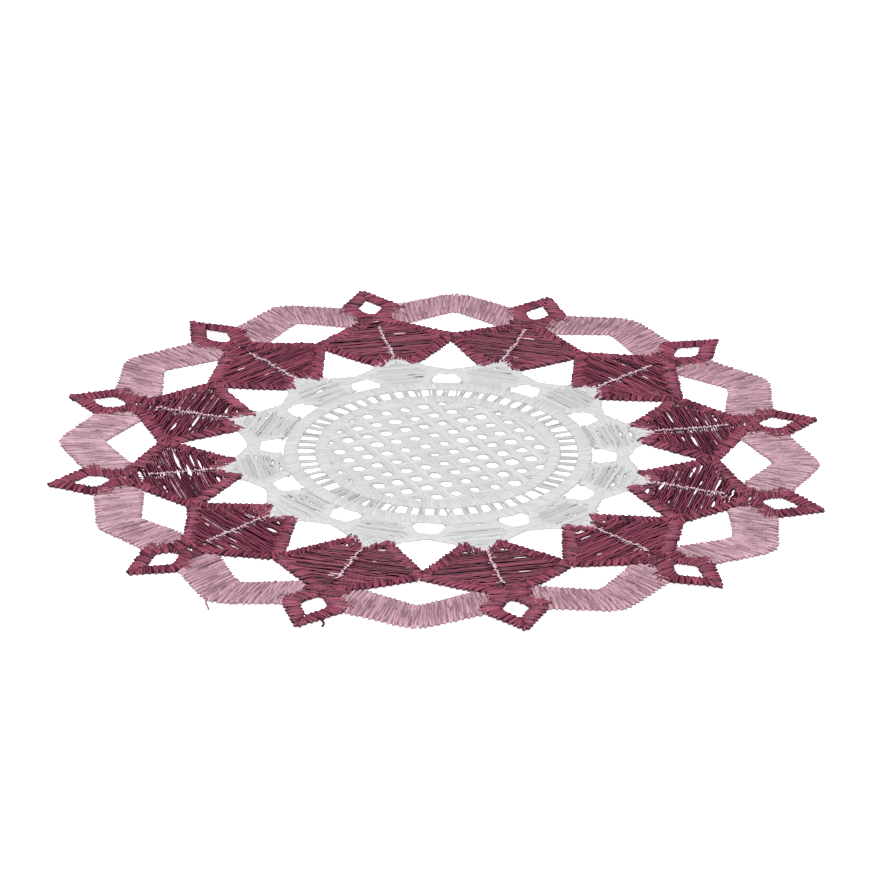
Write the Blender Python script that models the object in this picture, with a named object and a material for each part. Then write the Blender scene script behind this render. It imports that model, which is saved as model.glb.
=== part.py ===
"""Round lace doily, modelled as one sheet of openwork in real size.

The doily lies flat on +Z up: a net in the middle, a ladder ring round it, and then
twelve repeats, each with a petal, a leaf, an arched band and a pointed picot.
Everything is drawn flat as outlines in millimetres, cut through and carved to its
levels, and settled at the end by the small pulls and lifts of the real cloth.
"""
import math
from collections import namedtuple

import bpy
import bmesh
import numpy as np

MM = 0.001

# Driving dimensions, in millimetres and degrees -------------------------------------
REPEATS = 12
STEP_DEG = 360.0 / REPEATS
FIRST_TIP_DEG = 102.2      # direction of the first picot, anticlockwise from +X

# Levels of the sheet's upper face above the table.
FIELD_LEVEL = 1.0          # filling threads of the leaves and petals, net and rungs
BAND_LEVEL = 1.15          # arched band between the picots
BORDER_LEVEL = 1.3         # satin borders, rings, midribs and picots

# Along each repeat's axis: distance from the doily's centre.
TIP_RADIUS = 90.0
SHOULDER = (6.8, 80.7)     # picot's side meets the band's outer edge: across, out
PICOT_HOLE_TOP = 84.1
PICOT_HOLE_SIDE = (3.1, 79.5)
PICOT_HOLE_FOOT = 75.3
BAND_CORNER = (6.9, 69.3)  # band's inner edge meets the leaf: across, out
LEAF_HEEL = (5.0, 46.4)    # leaf's inner edge meets the petal: across, out
LEAF_BORDER = 2.8          # width of a leaf's satin border
LEAF_FIELD_HEEL = 4.6      # how far across a leaf's sunken field its inner corner is
MIDRIB_HALF = 0.6
MIDRIB_FOOT = 52.0
TIP_BLUNT = 0.7            # a picot's point is cut back by this much

# Along the line half way between two repeats.
BAND_PEAK_OUT = 86.7
PEAK_BLUNT = (2.6, 85.9)   # where the band's rounded peak begins: across, out
BAND_PEAK_IN = 76.0
LEAF_JOIN_OUT = 63.8       # two leaves touch between these two radii
LEAF_JOIN_IN = 59.4
PETAL_BRIDGE_OUT = 43.0
PETAL_SHOULDER = (4.3, 44.0)   # across from that line, out
GAP_TOP = (2.1, 40.3)      # petal gap: degrees from that line, radius
GAP_BASE = (5.2, 36.0)
GAP_FOOT = 35.3

# Right half of a petal's sunken field: across, out.
PETAL_FIELD = ((4.4, 37.2), (6.6, 41.2), (3.4, 45.6), (0.0, 48.0))
# Where the plum of a picot and a leaf ends on the band: across, out.
BAND_FIELD_EDGE = ((8.0, 84.5), (8.1, 77.9), (4.6, 74.8), (4.2, 72.4), (9.9, 69.4))

# Rings and ladder.
RUNGS = 60
RUNG_GAP = (28.3, 31.5)    # radii of the gaps between rungs
RUNG_GAP_HALF_DEG = 1.65
CLOSED_GAPS = (36, 37, 38, 39)     # drawn shut, counted clockwise from the first picot
LADDER = (27.9, 31.9)      # the sunken strip that the rungs cross
NET_EDGE = 25.4

# Net: its holes stand on a slightly skewed square grid.
NET_PITCH = (4.67, 4.88)
NET_TURN_DEG = (23.0, 117.8)
NET_ORIGIN = (-0.9, -2.7)  # the hole nearest to the centre
NET_HOLE = 1.2             # radius of a hole
NET_HOLE_SIDES = 8
NET_REACH = 23.9           # farthest hole centre

# How the cloth lies: pulls outward and anticlockwise, and lifts, in millimetres,
# at each picot's tip and at the band's peak that follows it clockwise.
Settle = namedtuple("Settle", "tip_out tip_turn tip_lift peak_out peak_turn peak_lift")
SETTLE = [Settle(*row) for row in (
    (0.1, 0.1, 0.1, 0.3, 0.0, 0.2),
    (-0.3, 0.6, 0.0, -0.1, 0.1, 0.0),
    (0.3, 0.3, 0.3, -0.1, -0.3, 0.0),
    (-0.3, -0.6, 0.0, -0.2, -1.0, 0.0),
    (0.5, -0.7, 0.0, 0.8, 0.3, 0.0),
    (-0.2, 1.0, 0.6, -0.6, 0.4, 0.6),
    (-1.2, 0.2, 0.9, -0.9, -0.5, 0.7),
    (0.1, -2.0, 0.4, 1.0, -0.9, 0.0),
    (0.7, 0.7, 0.0, -2.5, 1.6, 0.0),
    (-0.7, 0.2, 0.0, -0.3, 0.4, 0.0),
    (0.3, 0.5, 0.0, 0.6, 0.1, 0.2),
    (0.2, -1.1, 0.7, 0.3, -0.7, 0.5),
)]
SETTLE_FROM = 36.0         # inside this radius the cloth lies still
LIFT_FROM = 50.0           # and inside this one it lies flat on the table

# Centre of the outline's box once settled, which becomes the origin.
BOX_CENTRE = (0.28, 0.65)

COLOURS = {"white_thread": (0.79, 0.79, 0.79, 1.0),
           "plum_thread": (0.24, 0.035, 0.09, 1.0),
           "pink_thread": (0.56, 0.30, 0.36, 1.0)}
WHITE_REACH = 44.5         # the white part ends about here
PINK_INNER = 71.0
PICOT_HALF_DEG = 5.6       # plum on both sides of a picot's axis, where the band is


# Small geometry ----------------------------------------------------------------------
def turned(points, degrees):
    """Points given as (across, out) on an axis that points in a direction."""
    angle = math.radians(degrees)
    cos, sin = math.cos(angle), math.sin(angle)
    return [(out * cos + across * sin, out * sin - across * cos) for across, out in points]


def on_circle(radius, degrees):
    """A point as (across, out), some degrees clockwise of the axis."""
    angle = math.radians(degrees)
    return (radius * math.sin(angle), radius * math.cos(angle))


def mirrored(half):
    """A closed outline from its clockwise right half; points on the axis stay single."""
    left = [(-across, out) for across, out in reversed(half) if abs(across) > 1e-6]
    return list(half) + left


def filleted(corners, reach, steps):
    """Each corner becomes an arc of some steps that starts reach away on both sides."""
    points = []
    for index, corner in enumerate(corners):
        corner = np.array(corner)
        before = np.array(corners[index - 1]) - corner
        after = np.array(corners[(index + 1) % len(corners)]) - corner
        start = corner + before * min(0.4, reach / np.linalg.norm(before))
        end = corner + after * min(0.4, reach / np.linalg.norm(after))
        for part in np.linspace(0.0, 1.0, steps + 1):
            points.append(tuple((1 - part) ** 2 * start + 2 * part * (1 - part) * corner
                                + part ** 2 * end))
    return points


def regular(centre, radius, sides, first_deg=0.0):
    """A polygon round a centre."""
    angles = np.radians(first_deg + np.arange(sides) * 360.0 / sides)
    return [(centre[0] + radius * math.cos(angle), centre[1] + radius * math.sin(angle))
            for angle in angles]


def seen_from_peak(point):
    """A point given on a tip's axis, as (across, out) on the next peak's axis."""
    across, out = point
    from_tip = math.degrees(math.atan2(across, out))
    return on_circle(math.hypot(across, out), STEP_DEG / 2 - from_tip)


def tip_directions():
    return [FIRST_TIP_DEG - STEP_DEG * index for index in range(REPEATS)]


def peak_directions():
    return [direction - STEP_DEG / 2 for direction in tip_directions()]


# Outlines ----------------------------------------------------------------------------
def outer_outline():
    """Picot tips and band peaks all the way round."""
    loop = []
    for tip, peak in zip(tip_directions(), peak_directions()):
        blunt = (TIP_BLUNT, TIP_RADIUS - TIP_BLUNT)
        picot = [(-SHOULDER[0], SHOULDER[1]), (-blunt[0], blunt[1]), (0.0, TIP_RADIUS),
                 blunt, SHOULDER]
        crest = [(-PEAK_BLUNT[0], PEAK_BLUNT[1]), (0.0, BAND_PEAK_OUT), PEAK_BLUNT]
        loop += turned(picot, tip)
        loop += turned(crest, peak)
    return loop


def picot_hole():
    corners = mirrored([(0.0, PICOT_HOLE_TOP), PICOT_HOLE_SIDE, (0.0, PICOT_HOLE_FOOT)])
    return filleted(corners, 1.2, 2)


def band_gap():
    """Lozenge between the band and two leaves, on the line between two repeats."""
    side = seen_from_peak(BAND_CORNER)
    corners = mirrored([(0.0, BAND_PEAK_IN), side, (0.0, LEAF_JOIN_OUT)])
    return filleted(corners, 1.4, 2)


def leaf_gap():
    """Kite between two leaves and two petals, on the line between two repeats."""
    heel = seen_from_peak(LEAF_HEEL)
    corners = mirrored([(0.0, LEAF_JOIN_IN), heel, PETAL_SHOULDER, (0.0, PETAL_BRIDGE_OUT)])
    return filleted(corners, 1.0, 1)


def petal_gap():
    half = [on_circle(GAP_TOP[1], GAP_TOP[0]), on_circle(GAP_BASE[1], GAP_BASE[0]),
            (0.0, GAP_FOOT)]
    return mirrored(half)


def rung_gap():
    inner, outer = RUNG_GAP
    half = [on_circle(outer, RUNG_GAP_HALF_DEG), on_circle(inner, RUNG_GAP_HALF_DEG)]
    return filleted(mirrored(half), 0.45, 1)


def net_holes():
    """Every grid point within reach becomes a small round hole."""
    holes = []
    steps = [np.array([math.cos(math.radians(turn)), math.sin(math.radians(turn))]) * pitch
             for turn, pitch in zip(NET_TURN_DEG, NET_PITCH)]
    span = range(-7, 8)
    for row in span:
        for column in span:
            centre = np.array(NET_ORIGIN) + steps[0] * column + steps[1] * row
            if np.hypot(*centre) < NET_REACH:
                holes.append(regular(centre, NET_HOLE, NET_HOLE_SIDES, NET_TURN_DEG[0]))
    return holes


def sheet_loops():
    """The outer outline first, then every gap that is cut through."""
    loops = [outer_outline()]
    for tip, peak in zip(tip_directions(), peak_directions()):
        loops.append(turned(picot_hole(), tip))
        loops.append(turned(band_gap(), peak))
        loops.append(turned(leaf_gap(), peak))
        loops.append(turned(petal_gap(), peak))
    for gap in range(RUNGS):
        if gap not in CLOSED_GAPS:
            loops.append(turned(rung_gap(), FIRST_TIP_DEG - gap * 360.0 / RUNGS))
    return loops + net_holes()


# Carving outlines --------------------------------------------------------------------
def leaf_field():
    """Right half of a leaf's sunken field, beside the midrib: across, out.

    Both edges run beside the leaf's own edges, one border's width inside them.
    """
    def inset_edge(start, end, border):
        slope = (end[1] - start[1]) / (end[0] - start[0])
        rise = start[1] - slope * start[0] + border * math.hypot(1.0, slope)
        return slope, rise

    inner_slope, inner_rise = inset_edge(LEAF_HEEL, on_circle(LEAF_JOIN_IN, STEP_DEG / 2),
                                         LEAF_BORDER)
    outer_slope, outer_rise = inset_edge(BAND_CORNER, on_circle(LEAF_JOIN_OUT, STEP_DEG / 2),
                                         -LEAF_BORDER)
    side = (outer_rise - inner_rise) / (inner_slope - outer_slope)
    return [(MIDRIB_HALF, outer_rise + outer_slope * MIDRIB_HALF),
            (side, inner_rise + inner_slope * side),
            (LEAF_FIELD_HEEL, inner_rise + inner_slope * LEAF_FIELD_HEEL),
            (MIDRIB_HALF, MIDRIB_FOOT)]


def band_field():
    """The band between two picots, from beyond its outer edge into the gap below it."""
    beyond = (0.0, TIP_RADIUS + 2.0)
    below = (0.0, (BAND_PEAK_IN + LEAF_JOIN_OUT) / 2)
    return mirrored([beyond] + [seen_from_peak(point) for point in BAND_FIELD_EDGE] + [below])


# Objects -----------------------------------------------------------------------------
def prism(name, loops, bottom, top, collection):
    """A flat outline with its holes, filled and given its height, as a mesh object."""
    curve = bpy.data.curves.new(name, "CURVE")
    curve.dimensions = "2D"
    curve.fill_mode = "BOTH"
    curve.extrude = (top - bottom) * MM / 2
    for loop in loops:
        spline = curve.splines.new("POLY")
        spline.points.add(len(loop) - 1)
        flat = np.zeros((len(loop), 4))
        flat[:, :2] = np.array(loop) * MM
        flat[:, 3] = 1.0
        spline.points.foreach_set("co", flat.ravel())
        spline.use_cyclic_u = True
    drawn = bpy.data.objects.new(name + "_outline", curve)
    drawn.location.z = (top + bottom) * MM / 2
    collection.objects.link(drawn)
    bpy.context.view_layer.update()
    evaluated = drawn.evaluated_get(bpy.context.evaluated_depsgraph_get())
    mesh = bpy.data.meshes.new_from_object(evaluated)
    mesh.transform(drawn.matrix_world)
    body = bmesh.new()
    body.from_mesh(mesh)
    bmesh.ops.remove_doubles(body, verts=body.verts, dist=0.00001)
    bmesh.ops.recalc_face_normals(body, faces=body.faces)
    body.to_mesh(mesh)
    body.free()
    solid = bpy.data.objects.new(name, mesh)
    mesh.name = name
    collection.objects.link(solid)
    bpy.data.objects.remove(drawn)
    bpy.data.curves.remove(curve)
    return solid


def cutter(name, loops, bottom, collection):
    tool = prism(name, loops, bottom, BORDER_LEVEL + 1.0, collection)
    tool.hide_render = True
    tool.display_type = "WIRE"
    return tool


def carve(sheet, collection):
    """Sink the fields, the band, the rungs and the net below the borders."""
    fields = []
    half_leaf = leaf_field()
    left_leaf = [(-across, out) for across, out in half_leaf]
    petal = mirrored(list(PETAL_FIELD))
    for tip in tip_directions():
        fields.append(turned(half_leaf, tip))
        fields.append(turned(left_leaf, tip))
        fields.append(turned(petal, tip))
    ladder = [regular((0, 0), LADDER[1], RUNGS, FIRST_TIP_DEG),
              regular((0, 0), LADDER[0], RUNGS, FIRST_TIP_DEG)]
    net = [regular((0, 0), NET_EDGE, RUNGS, FIRST_TIP_DEG)]
    bands = [turned(band_field(), peak) for peak in peak_directions()]
    tools = [cutter("fields_cutter", fields, FIELD_LEVEL, collection),
             cutter("ladder_cutter", ladder, FIELD_LEVEL, collection),
             cutter("net_cutter", net, FIELD_LEVEL, collection),
             cutter("bands_cutter", bands, BAND_LEVEL, collection)]
    for tool in tools:
        cut = sheet.modifiers.new(tool.name, "BOOLEAN")
        cut.operation = "DIFFERENCE"
        cut.solver = "EXACT"
        cut.object = tool


def smoothstep(value):
    value = np.clip(value, 0.0, 1.0)
    return value * value * (3.0 - 2.0 * value)


def settled(points):
    """Move flat points, in millimetres, by the table's pulls and lifts.

    Round the doily the pulls are blended smoothly from each tip to the next peak and
    on to the next tip; outward they grow from nothing at SETTLE_FROM to full at the tips.
    """
    knots = []
    for row in SETTLE:
        knots.append((row.tip_out, row.tip_turn, row.tip_lift))
        knots.append((row.peak_out, row.peak_turn, row.peak_lift))
    knots = np.array(knots)
    radius = np.hypot(points[:, 0], points[:, 1])
    angle = np.degrees(np.arctan2(points[:, 1], points[:, 0]))
    place = (FIRST_TIP_DEG - angle) / (STEP_DEG / 2) % (2 * REPEATS)
    before = np.floor(place).astype(int) % (2 * REPEATS)
    part = smoothstep(place - np.floor(place))[:, None]
    pull = knots[before] * (1 - part) + knots[(before + 1) % (2 * REPEATS)] * part
    in_plane = smoothstep((radius - SETTLE_FROM) / (TIP_RADIUS - SETTLE_FROM))
    lifting = smoothstep((radius - LIFT_FROM) / (TIP_RADIUS - LIFT_FROM))
    outward = points[:, :2] / np.maximum(radius, 1e-9)[:, None]
    sideways = np.stack([-outward[:, 1], outward[:, 0]], axis=1)
    moved = points.copy()
    moved[:, :2] += (outward * pull[:, 0:1] + sideways * pull[:, 1:2]) * in_plane[:, None]
    moved[:, 2] += pull[:, 2] * lifting
    moved[:, :2] -= BOX_CENTRE
    return moved


def thread_material(name):
    material = bpy.data.materials.new(name)
    material.use_nodes = True
    shader = material.node_tree.nodes["Principled BSDF"]
    shader.inputs["Base Color"].default_value = COLOURS[name]
    shader.inputs["Roughness"].default_value = 0.6
    shader.inputs["Metallic"].default_value = 0.0
    material.diffuse_color = COLOURS[name]
    return material


def colour_zones(mesh):
    """White in the middle, plum leaves and picots, pink band between the picots."""
    for name in COLOURS:
        mesh.materials.append(thread_material(name))
    for polygon in mesh.polygons:
        x, y = polygon.center.x / MM, polygon.center.y / MM
        radius = math.hypot(x, y)
        from_tip = (FIRST_TIP_DEG - math.degrees(math.atan2(y, x)) + STEP_DEG / 2) % STEP_DEG
        in_picot = abs(from_tip - STEP_DEG / 2) < PICOT_HALF_DEG
        if radius < WHITE_REACH:
            polygon.material_index = 0
        elif radius < PINK_INNER or in_picot:
            polygon.material_index = 1
        else:
            polygon.material_index = 2


def build():
    for old in list(bpy.data.objects):
        bpy.data.objects.remove(old)
    parts = bpy.data.collections.new("lace_doily")
    cutters = bpy.data.collections.new("cutters")
    bpy.context.scene.collection.children.link(parts)
    bpy.context.scene.collection.children.link(cutters)

    sheet = prism("doily_flat", sheet_loops(), 0.0, BORDER_LEVEL, cutters)
    carve(sheet, cutters)
    bpy.context.view_layer.update()
    evaluated = sheet.evaluated_get(bpy.context.evaluated_depsgraph_get())
    mesh = bpy.data.meshes.new_from_object(evaluated)
    mesh.name = "doily"
    points = np.empty(len(mesh.vertices) * 3, dtype=np.float32)
    mesh.vertices.foreach_get("co", points)
    points = settled(points.reshape(-1, 3).astype(float) / MM) * MM
    mesh.vertices.foreach_set("co", points.astype(np.float32).ravel())
    mesh.update()
    mesh.materials.clear()
    colour_zones(mesh)
    mesh.shade_smooth()
    mesh.set_sharp_from_angle(angle=math.radians(30))

    doily = bpy.data.objects.new("doily", mesh)
    parts.objects.link(doily)
    bpy.data.objects.remove(sheet)


build()
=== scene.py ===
"""Looks of the openwork lace doily: every stitch is a strand of embroidery thread.

The doily is drawn flat in millimetres, repeat by repeat, on axes that run from its
centre out to each picot. A point there is (across, out). Strands are laid between named
edges, turned to their repeat, given the small pulls and lifts of the real cloth, and
only then made into meshes in metres, in the frame of the solid that they stand for.
"""
import math

import bpy
import numpy as np
from bpy.props import FloatProperty, FloatVectorProperty, IntProperty, PointerProperty
from mathutils import Matrix, Vector


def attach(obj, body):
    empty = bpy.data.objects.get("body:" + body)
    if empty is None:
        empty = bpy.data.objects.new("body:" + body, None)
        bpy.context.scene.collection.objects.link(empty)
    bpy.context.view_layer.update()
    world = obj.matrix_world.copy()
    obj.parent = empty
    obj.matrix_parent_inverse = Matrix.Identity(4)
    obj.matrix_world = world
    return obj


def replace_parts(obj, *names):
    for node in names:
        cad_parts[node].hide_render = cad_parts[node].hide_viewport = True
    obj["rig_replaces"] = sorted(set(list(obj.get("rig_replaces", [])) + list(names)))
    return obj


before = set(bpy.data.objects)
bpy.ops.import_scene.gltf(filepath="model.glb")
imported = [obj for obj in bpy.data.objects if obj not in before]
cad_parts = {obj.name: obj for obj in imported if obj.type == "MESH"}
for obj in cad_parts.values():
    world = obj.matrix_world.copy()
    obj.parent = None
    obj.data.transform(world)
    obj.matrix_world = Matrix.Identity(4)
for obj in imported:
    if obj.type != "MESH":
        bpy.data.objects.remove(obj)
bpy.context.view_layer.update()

bl_info = {
    "name": "Lace doily",
    "version": (1, 0, 0),
    "blender": (4, 5, 0),
    "location": "3D View > Sidebar > Doily",
    "description": "Builds an embroidered openwork doily thread by thread",
    "category": "Object",
}

MM = 0.001
NODE = "doily"
BODY = "root"

# Layout, in millimetres and degrees, the same as the solid's ----------------------------
REPEATS = 12
STEP_DEG = 360.0 / REPEATS
FIRST_TIP_DEG = 102.2
TIPS = FIRST_TIP_DEG - STEP_DEG * np.arange(REPEATS)
PEAKS = TIPS - STEP_DEG / 2
WHOLE = np.array([FIRST_TIP_DEG])      # for rings, which are drawn once all the way round

# How far the cloth is pulled outward, pulled anticlockwise and lifted, a row for each repeat:
# the first three numbers are its tip's, and the last three those of the peak after it.
SETTLE = np.array((
    (0.1, 0.1, 0.1, 0.3, 0.0, 0.2),
    (-0.3, 0.6, 0.0, -0.1, 0.1, 0.0),
    (0.3, 0.3, 0.3, -0.1, -0.3, 0.0),
    (-0.3, -0.6, 0.0, -0.2, -1.0, 0.0),
    (0.5, -0.7, 0.0, 0.8, 0.3, 0.0),
    (-0.2, 1.0, 0.6, -0.6, 0.4, 0.6),
    (-1.2, 0.2, 0.9, -0.9, -0.5, 0.7),
    (0.1, -2.0, 0.4, 1.0, -0.9, 0.0),
    (0.7, 0.7, 0.0, -2.5, 1.6, 0.0),
    (-0.7, 0.2, 0.0, -0.3, 0.4, 0.0),
    (0.3, 0.5, 0.0, 0.6, 0.1, 0.2),
    (0.2, -1.1, 0.7, 0.3, -0.7, 0.5),
))
SETTLE_FROM = 36.0         # radius from which the cloth is pulled
LIFT_FROM = 50.0           # and from which it is lifted
TIP_RADIUS = 90.0
BOX_CENTRE = (0.28, 0.65)  # of the flat drawing, which the frame's origin lies under

# The white centre was pinned out a little long from front to back, and lies off the middle.
CENTRE_STRETCH = 0.025
CENTRE_SHIFT = 0.35
CENTRE_FADE = (32.0, 54.0)     # radii between which both fade out

# Satin stitches lie in groups of three that share their needle holes.
GROUP = 3
NOTCH = np.array((-0.08, 0.10, -0.05))     # each one of a group reaches past the edge by this
WHOLE_STEPS = np.array([0.0, 0.10, 0.34, 0.66, 0.90, 1.0])      # rings along a satin stitch
PART_STEPS = np.array([0.0, 0.14, 0.5, 0.86, 1.0])              # and along a part of one
BOX_POWER = 2.8            # the higher, the squarer a stitch's ends
BOX_END = 0.98             # how far its last ring is toward a point
UNDERSIDE = 0.03           # lowest point of the threads above the table
PAINTED_SHADE = 0.85              # painted shade: how much the tone falls from a thread's crest to its middle
CREST = 0.75               # height on a thread, as a part of its half height, that keeps its tone; above it the thread is painted lighter, below it painted darker
UNDER = 0.6                # below this part of its half height a thread's underside begins, where the painted shade lightens again
LAP = 0.03                 # lap of the parts of a stitch, as a part of its length
PLIES = 2.0
PLY_TURNS = 1 / 0.9        # one turn of a thread's plies every 0.9 mm
PLY_DEPTH = 0.04           # millimetres
PATCHES = 520.0            # to the metre, so patches of tone are about 1.9 mm across
SHORT_EDGE = 0.6           # share of the longer edge below which outer stitches stop short
STOP_SHORT = 0.6           # how much of their length they lose for each share below it
STITCH_BOW = 0.06          # spread of a stitch's bow, in millimetres
PART_SWAY = 0.09           # and of the wander of its parts
CUT_SPREAD = 0.13          # spread of the places where its parts meet, as parts of its length
CUT_LIMITS = (0.12, 0.88)
PLUM_TOP = 1.08            # heights of the satin above the table
PINK_TOP = 0.92
WHITE_TOP = 0.76


# Small geometry -------------------------------------------------------------------------
def pairs(across, out):
    """Points from their two coordinates."""
    return np.stack([across, out], axis=-1)


def running(lengths):
    """Zero, and then the running sums of the lengths."""
    return np.insert(np.cumsum(lengths, axis=-1), 0, 0, axis=-1)


def polar(radius, degrees):
    """A point as (across, out), some degrees clockwise of the axis."""
    angle = np.radians(degrees)
    return pairs(radius * np.sin(angle), radius * np.cos(angle))


def to_flat(points, directions):
    """(across, out) points, one block for each direction, as x and y on the flat cloth."""
    angle = np.radians(directions).reshape((-1,) + (1,) * (points.ndim - 2))
    across, out = points[..., 0], points[..., 1]
    return pairs(out * np.cos(angle) + across * np.sin(angle),
                 out * np.sin(angle) - across * np.cos(angle))


def mirrored(points):
    """The same points on the other side of the axis."""
    return [(-across, out) for across, out in points]


def smoothstep(value, low=0.0, high=1.0):
    """From 0 at low to 1 at high, as three squares less two cubes."""
    part = np.clip((value - low) / (high - low), 0.0, 1.0)
    return part * part * (3.0 - 2.0 * part)


def settled(points):
    """Flat points in millimetres, moved by the table's pulls and lifts.

    Round the doily each pull is blended by a smooth step from a tip to the next peak;
    outward it grows by a smooth step from SETTLE_FROM, or LIFT_FROM, to the tips.
    """
    knots = SETTLE.reshape(-1, 3)
    radius = np.hypot(points[:, 0], points[:, 1])
    angle = np.degrees(np.arctan2(points[:, 1], points[:, 0]))
    place = (FIRST_TIP_DEG - angle) / (STEP_DEG / 2) % (2 * REPEATS)
    before = np.floor(place).astype(int) % (2 * REPEATS)
    part = smoothstep(place - np.floor(place))[:, None]
    pull = knots[before] * (1 - part) + knots[(before + 1) % (2 * REPEATS)] * part
    in_plane = smoothstep(radius, SETTLE_FROM, TIP_RADIUS)
    lifting = smoothstep(radius, LIFT_FROM, TIP_RADIUS)
    outward = points[:, :2] / np.maximum(radius, 1e-9)[:, None]
    sideways = np.stack([-outward[:, 1], outward[:, 0]], axis=1)
    moved = points.copy()
    moved[:, :2] += (outward * pull[:, 0:1] + sideways * pull[:, 1:2]) * in_plane[:, None]
    moved[:, 2] += pull[:, 2] * lifting
    centre = 1 - smoothstep(radius, *CENTRE_FADE)
    moved[:, 1] += (CENTRE_STRETCH * points[:, 1] + CENTRE_SHIFT) * centre
    moved[:, :2] -= BOX_CENTRE
    return moved


# Strands --------------------------------------------------------------------------------
def bundle(paths, wide, high, tone, sides=6, crown=0.5):
    """Strands of one length: paths are (strand, step, xyz), wide and high half sizes.

    A crown of 0.5 turns an edge of the strand up, and a crown of 0 a flat side.
    """
    wide, high, tone = (np.broadcast_to(part, paths.shape[:2]) for part in (wide, high, tone))
    return {"paths": paths, "wide": wide, "high": high, "tone": tone, "sides": sides,
            "crown": crown}


def strand_surface(strands):
    """Rings of points round each path, joined by four-cornered faces.

    A ring's points are the path's point, plus its level sideways direction times the
    half width times a cosine, plus straight up times the half height times a sine. Its
    tone falls with that sine, as painted shade where less light reaches down between the
    threads and a painted highlight along the crest, and rises again on the underside,
    which looks like the top.
    """
    paths, sides = strands["paths"], strands["sides"]
    count, steps = paths.shape[:2]
    run = np.gradient(paths[..., :2], axis=1)
    run /= np.maximum(np.linalg.norm(run, axis=-1, keepdims=True), 1e-9)
    sideways = np.stack([run[..., 1], -run[..., 0], np.zeros((count, steps))], axis=-1)
    turn = 2 * np.pi * (np.arange(sides) + strands["crown"]) / sides
    points = (paths[:, :, None, :]
              + sideways[:, :, None, :] * (strands["wide"][..., None] * np.cos(turn))[..., None]
              + np.array([0.0, 0.0, 1.0]) * (strands["high"][..., None] * np.sin(turn))[..., None])
    ring = np.arange(sides)
    following = (ring + 1) % sides
    step = np.arange(steps - 1)[:, None] * sides
    wall = np.stack([step + ring, step + sides + ring,
                     step + sides + following, step + following], axis=-1).reshape(-1, 4)
    fan = np.arange(1, sides - 2, 2)
    near = np.stack([fan * 0, fan, fan + 1, fan + 2], axis=-1)
    far = near[:, ::-1] + (steps - 1) * sides
    faces = np.concatenate([wall, near, far])
    length = running(np.linalg.norm(np.diff(paths, axis=1), axis=-1))[:, faces // sides]
    around = np.tile(np.stack([ring, ring, ring + 1, ring + 1], axis=-1), (steps - 1, 1))
    around = np.concatenate([around, near, near]) / sides
    uv = pairs(length, np.broadcast_to(around, length.shape))
    faces = faces[None] + (np.arange(count) * steps * sides)[:, None, None]
    # painted shade: each ring's tone falls down its sides and rises again on its underside, with a
    # painted highlight at the crest
    rise = np.where(np.sin(turn) < -UNDER, -np.sin(turn), np.sin(turn))
    tone = strands["tone"][..., None] + PAINTED_SHADE * (rise - CREST)
    return points.reshape(-1, 3), faces.reshape(-1, 4), uv.reshape(-1, 2), tone.reshape(-1)


def thread_piece(name, bundles, materials, zones=None):
    """One mesh object of many strands, settled and in metres."""
    points, faces, uvs, tones = zip(*map(strand_surface, bundles))
    zone = np.repeat(zones or [0] * len(faces), [len(some) for some in faces])
    offsets = running([len(some) for some in points])
    faces = np.concatenate([some + offset for some, offset in zip(faces, offsets)])
    points = settled(np.concatenate(points)) * MM
    mesh = bpy.data.meshes.new(name)
    mesh.vertices.add(len(points))
    mesh.vertices.foreach_set("co", points.astype(np.float32).ravel())
    mesh.loops.add(faces.size)
    mesh.loops.foreach_set("vertex_index", faces.astype(np.int32).ravel())
    mesh.polygons.add(len(faces))
    mesh.polygons.foreach_set("loop_start", np.arange(0, faces.size, 4, dtype=np.int32))
    mesh.update(calc_edges=True)
    for material in materials:
        mesh.materials.append(material)
    mesh.polygons.foreach_set("material_index", zone.astype(np.int32))
    layer = mesh.uv_layers.new(name="thread")
    layer.data.foreach_set("uv", np.concatenate(uvs).astype(np.float32).ravel())
    # each stitch's random tone, with its painted shade and painted highlights added
    tone = mesh.attributes.new("tone", "FLOAT", "POINT")
    tone.data.foreach_set("value", np.concatenate(tones).astype(np.float32))
    mesh.shade_smooth()
    if mesh.validate():
        raise RuntimeError(name + " had faces that had to be repaired")
    piece = bpy.data.objects.new(name, mesh)
    bpy.context.scene.collection.objects.link(piece)
    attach(piece, BODY)
    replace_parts(piece, NODE)
    return piece


def stations(edge_a, edge_b):
    """Two edges matched point by point, and the run along the longer of them."""
    edge_a, edge_b = np.array(edge_a, float), np.array(edge_b, float)
    run_a = np.linalg.norm(np.diff(edge_a, axis=0), axis=1)
    run_b = np.linalg.norm(np.diff(edge_b, axis=0), axis=1)
    run = np.maximum(run_a, run_b)
    return edge_a, edge_b, run_a / run, run_b / run, running(run)


def along(edge, station, at):
    """Points of an edge at these runs, on straight lines between its own points."""
    return pairs(np.interp(at, station, edge[:, 0]), np.interp(at, station, edge[:, 1]))


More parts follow.
